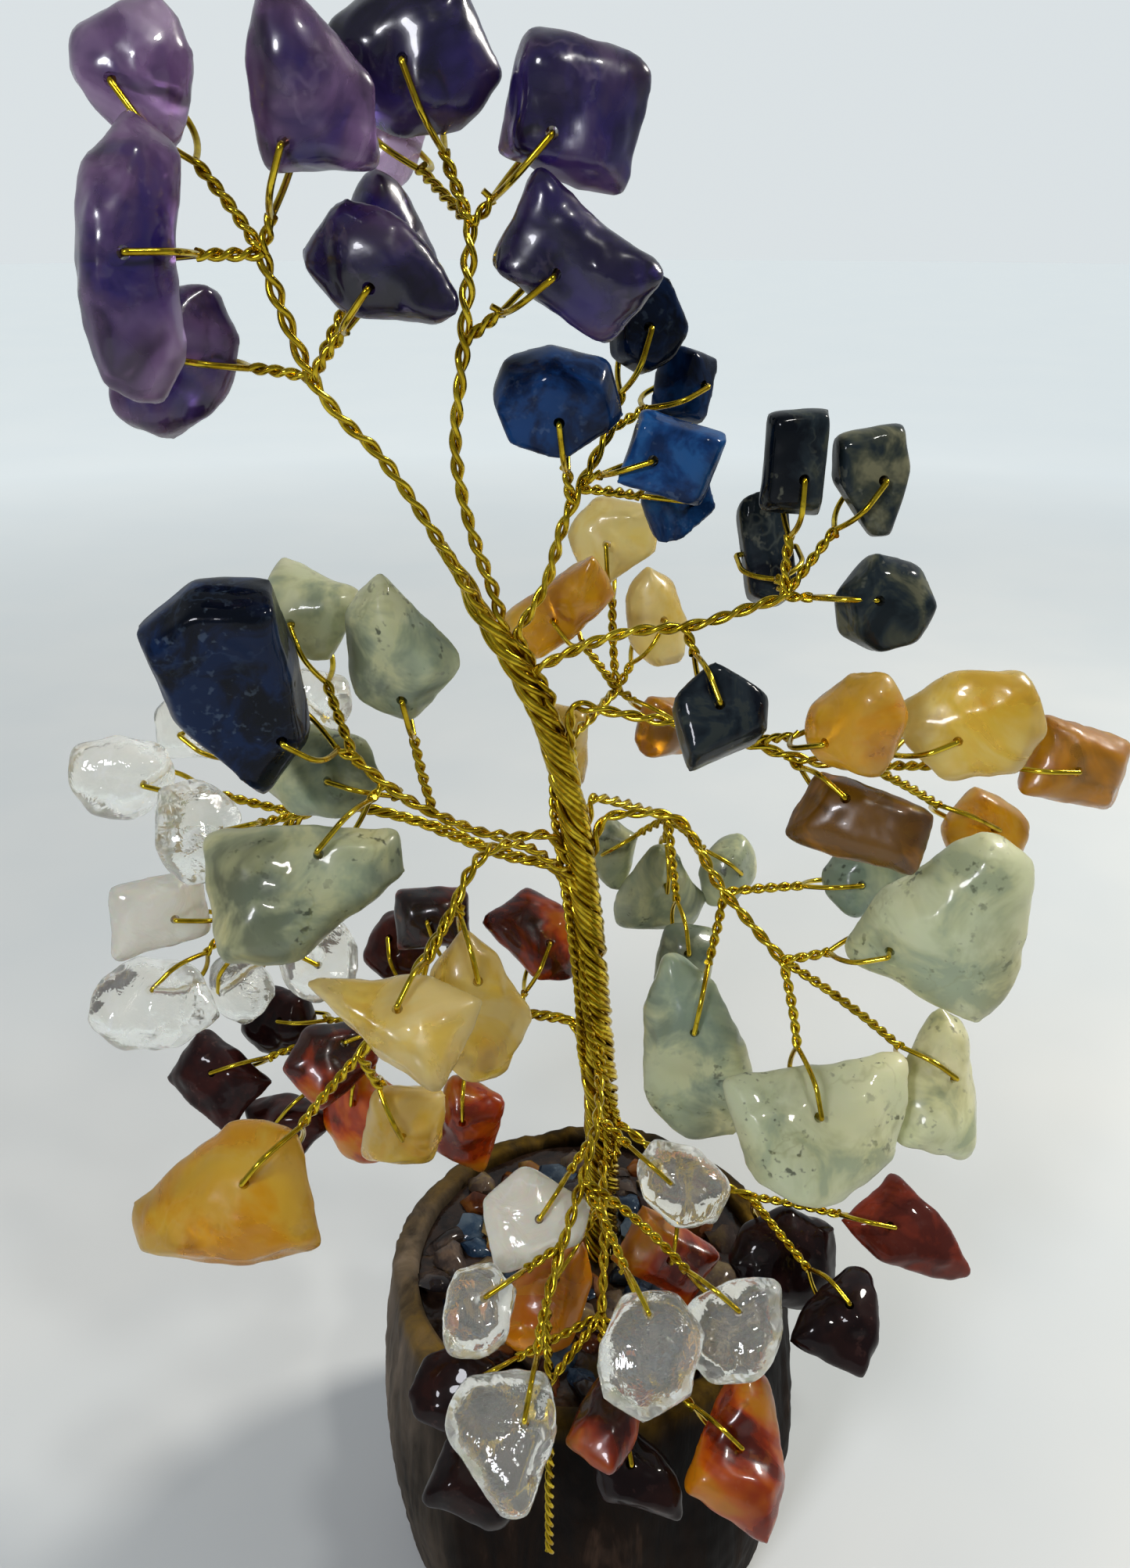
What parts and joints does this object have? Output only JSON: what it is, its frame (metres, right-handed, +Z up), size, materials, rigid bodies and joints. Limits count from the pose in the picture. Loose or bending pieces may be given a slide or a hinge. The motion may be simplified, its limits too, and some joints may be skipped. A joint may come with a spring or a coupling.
{
  "type": "gemstone tree ornament",
  "caption": "Ornamental tree of drilled, tumbled stone chips on twisted wire branches, with a laid wire trunk set in a stone-chip bed in a log base.",
  "frame": {"origin": "middle of the log's flat underside", "axes": "+Z up along the trunk, +X to the right and -Y towards someone who looks at the front"},
  "size_m": [0.1124, 0.074, 0.187],
  "materials": {
    "amethyst": "tumble-polished amethyst chips",
    "lapis": "tumble-polished lapis lazuli chips",
    "sodalite": "tumble-polished grey-blue sodalite chips",
    "green": "tumble-polished pale green aventurine chips",
    "honey": "tumble-polished honey-yellow calcite or agate chips",
    "quartz": "tumble-polished clear quartz chips",
    "carnelian": "tumble-polished orange-red carnelian chips",
    "red": "tumble-polished dark red jasper chips",
    "bed_grey": "small grey stone chips",
    "wire": "bright twisted craft wire",
    "log_wood": "dark stained log with bark ridges",
    "resin": "clear casting resin"
  },
  "bodies": {
    "root": {"bed_chips_blue": "lapis", "bed_chips_grey": "bed_grey", "bed_chips_orange": "carnelian", "log_base": "log_wood", "resin_bed": "resin", "trunk_core": "wire", "trunk_strands": "wire"},
    "crown_left_branch": {"amethyst_cone": "amethyst", "amethyst_long_bean": "amethyst", "crown_left_amethyst": "amethyst", "crown_left_wire": "wire"},
    "crown_right_branch": {"crown_right_amethyst": "amethyst", "crown_right_wire": "wire"},
    "lapis_branch": {"lapis_lapis": "lapis", "lapis_wire": "wire"},
    "sodalite_branch": {"sodalite_sodalite": "sodalite", "sodalite_wire": "wire"},
    "honey_back_branch": {"honey_back_honey": "honey", "honey_back_wire": "wire"},
    "honey_right_branch": {"honey_right_honey": "honey", "honey_right_wire": "wire"},
    "green_right_branch": {"green_large_slab": "green", "green_long_drop": "green", "green_right_green": "green", "green_right_wire": "wire"},
    "green_back_branch": {"green_back_green": "green", "green_back_wire": "wire"},
    "green_left_branch": {"green_left_green": "green", "green_left_wire": "wire", "green_wedge": "green", "lapis_kite": "lapis"},
    "quartz_left_branch": {"quartz_left_quartz": "quartz", "quartz_left_wire": "wire"},
    "honey_left_branch": {"honey_left_honey": "honey", "honey_left_wire": "wire", "honey_wing": "honey"},
    "red_left_branch": {"red_left_carnelian": "carnelian", "red_left_red": "red", "red_left_wire": "wire"},
    "quartz_front_branch": {"quartz_front_quartz": "quartz", "quartz_front_wire": "wire"},
    "red_right_branch": {"red_right_carnelian": "carnelian", "red_right_red": "red", "red_right_wire": "wire"},
    "red_front_branch": {"red_front_carnelian": "carnelian", "red_front_red": "red", "red_front_wire": "wire"},
    "amethyst_wing": {"amethyst_wing": "amethyst"},
    "amethyst_block": {"amethyst_block": "amethyst"},
    "lapis_pentagon": {"lapis_pentagon": "lapis"},
    "sodalite_pebble": {"sodalite_pebble": "sodalite"},
    "honey_drop": {"honey_drop": "honey"},
    "green_trapeze": {"green_trapeze": "green"},
    "green_side_slab": {"green_side_slab": "green"},
    "green_kite": {"green_kite": "green"},
    "honey_hanging_wedge": {"honey_hanging_wedge": "honey"},
    "quartz_front_pebble": {"quartz_front_pebble": "quartz"},
    "quartz_front_wedge": {"quartz_front_wedge": "quartz"},
    "red_side_wedge": {"red_side_wedge": "red"},
    "carnelian_low_wedge": {"carnelian_low_wedge": "carnelian"}
  },
  "joints": [
    {"name": "bend_crown_left", "type": "hinge", "parent": "root", "child": "crown_left_branch", "pos_m": [-0.01339, -0.00825, 0.14106], "axis": [-0.5034, 0.8641, 0], "range_deg": [-10, 4]},
    {"name": "bend_crown_right", "type": "hinge", "parent": "root", "child": "crown_right_branch", "pos_m": [-0.01046, -0.00594, 0.13952], "axis": [-0.9965, 0.0836, 0], "range_deg": [-4, 10]},
    {"name": "bend_lapis", "type": "hinge", "parent": "root", "child": "lapis_branch", "pos_m": [-0.00748, -0.00396, 0.13387], "axis": [0.2733, -0.9619, 0], "range_deg": [-10, 3]},
    {"name": "bend_sodalite", "type": "hinge", "parent": "root", "child": "sodalite_branch", "pos_m": [-0.00541, -0.00401, 0.12971], "axis": [-0.0846, -0.9964, 0], "range_deg": [-8, 8]},
    {"name": "bend_honey_back", "type": "hinge", "parent": "root", "child": "honey_back_branch", "pos_m": [-0.0021, 0.0021, 0.11976], "axis": [0.9301, -0.3673, 0], "range_deg": [-10, 10]},
    {"name": "bend_honey_right", "type": "hinge", "parent": "root", "child": "honey_right_branch", "pos_m": [-0.00129, -0.00349, 0.12518], "axis": [-0.2281, -0.9736, 0], "range_deg": [-5, 6]},
    {"name": "bend_green_right", "type": "hinge", "parent": "root", "child": "green_right_branch", "pos_m": [0.00224, -0.00038, 0.11113], "axis": [-0.5542, -0.8324, 0], "range_deg": [-10, 3]},
    {"name": "bend_green_back", "type": "hinge", "parent": "root", "child": "green_back_branch", "pos_m": [0.00044, 0.00216, 0.11208], "axis": [0.7674, -0.6411, 0], "range_deg": [-10, 10]},
    {"name": "bend_green_left", "type": "hinge", "parent": "root", "child": "green_left_branch", "pos_m": [-0.00602, -0.00313, 0.1102], "axis": [-0.5391, 0.8422, 0], "range_deg": [-5, 8]},
    {"name": "bend_quartz_left", "type": "hinge", "parent": "root", "child": "quartz_left_branch", "pos_m": [-0.00581, -0.00146, 0.10584], "axis": [0.0426, 0.9991, 0], "range_deg": [-6, 4]},
    {"name": "bend_honey_left", "type": "hinge", "parent": "root", "child": "honey_left_branch", "pos_m": [-0.00434, -0.00453, 0.10733], "axis": [-0.722, 0.6919, 0], "range_deg": [-10, 10]},
    {"name": "bend_red_left", "type": "hinge", "parent": "root", "child": "red_left_branch", "pos_m": [-0.0033, 0.00247, 0.0819], "axis": [0.2864, 0.9581, 0], "range_deg": [-10, 10]},
    {"name": "bend_quartz_front", "type": "hinge", "parent": "root", "child": "quartz_front_branch", "pos_m": [0.00097, -0.00371, 0.07729], "axis": [-0.9711, 0.2389, 0], "range_deg": [-2, 10]},
    {"name": "bend_red_right", "type": "hinge", "parent": "root", "child": "red_right_branch", "pos_m": [0.00466, -0.00183, 0.06836], "axis": [-0.4473, -0.8944, 0], "range_deg": [-10, 10]},
    {"name": "bend_red_front", "type": "hinge", "parent": "root", "child": "red_front_branch", "pos_m": [0.00159, -0.00285, 0.06305], "axis": [-0.9995, 0.0323, 0], "range_deg": [-3, 3]},
    {"name": "swivel_amethyst_wing", "type": "hinge", "parent": "crown_left_branch", "child": "amethyst_wing", "pos_m": [-0.01726, -0.01783, 0.16668], "axis": [-0.2516, -0.9232, -0.2907], "range_deg": [-12, 12]},
    {"name": "swivel_amethyst_block", "type": "hinge", "parent": "crown_right_branch", "child": "amethyst_block", "pos_m": [-0.00413, -0.01086, 0.17684], "axis": [0.0126, -0.9906, -0.1361], "range_deg": [-12, 12]},
    {"name": "swivel_lapis_pentagon", "type": "hinge", "parent": "lapis_branch", "child": "lapis_pentagon", "pos_m": [-0.00352, -0.00782, 0.1553], "axis": [-0.0317, -0.9686, -0.2467], "range_deg": [-12, 12]},
    {"name": "swivel_sodalite_pebble", "type": "hinge", "parent": "sodalite_branch", "child": "sodalite_pebble", "pos_m": [0.02588, -0.006, 0.13662], "axis": [0.0284, -0.9665, 0.2553], "range_deg": [-12, 12]},
    {"name": "swivel_honey_drop", "type": "hinge", "parent": "honey_right_branch", "child": "honey_drop", "pos_m": [0.02294, -0.01483, 0.1273], "axis": [-0.7009, -0.7034, -0.1181], "range_deg": [-12, 12]},
    {"name": "swivel_green_trapeze", "type": "hinge", "parent": "green_right_branch", "child": "green_trapeze", "pos_m": [0.02238, -0.0185, 0.08579], "axis": [0.1338, -0.8915, 0.4328], "range_deg": [-12, 12]},
    {"name": "swivel_green_side_slab", "type": "hinge", "parent": "green_right_branch", "child": "green_side_slab", "pos_m": [0.03725, -0.012, 0.08521], "axis": [0.3691, -0.8197, 0.438], "range_deg": [-12, 12]},
    {"name": "swivel_green_kite", "type": "hinge", "parent": "green_left_branch", "child": "green_kite", "pos_m": [-0.01853, -0.01252, 0.13102], "axis": [0.1648, -0.9773, -0.1333], "range_deg": [-12, 12]},
    {"name": "swivel_honey_hanging_wedge", "type": "hinge", "parent": "honey_left_branch", "child": "honey_hanging_wedge", "pos_m": [-0.03283, -0.02751, 0.08612], "axis": [-0.2236, -0.8504, 0.4763], "range_deg": [-12, 12]},
    {"name": "swivel_quartz_front_pebble", "type": "hinge", "parent": "quartz_front_branch", "child": "quartz_front_pebble", "pos_m": [-0.01142, -0.02907, 0.06916], "axis": [0.2034, -0.5667, 0.7984], "range_deg": [-12, 12]},
    {"name": "swivel_quartz_front_wedge", "type": "hinge", "parent": "quartz_front_branch", "child": "quartz_front_wedge", "pos_m": [-0.00704, -0.03699, 0.06262], "axis": [0.0168, -0.5502, 0.8348], "range_deg": [-12, 12]},
    {"name": "swivel_red_side_wedge", "type": "hinge", "parent": "red_right_branch", "child": "red_side_wedge", "pos_m": [0.03552, -0.009, 0.06007], "axis": [0.1616, -0.7817, 0.6024], "range_deg": [-12, 12]},
    {"name": "swivel_carnelian_low_wedge", "type": "hinge", "parent": "red_front_branch", "child": "carnelian_low_wedge", "pos_m": [0.0155, -0.0297, 0.04835], "axis": [0.131, -0.6525, 0.7464], "range_deg": [-12, 12]}
  ]
}
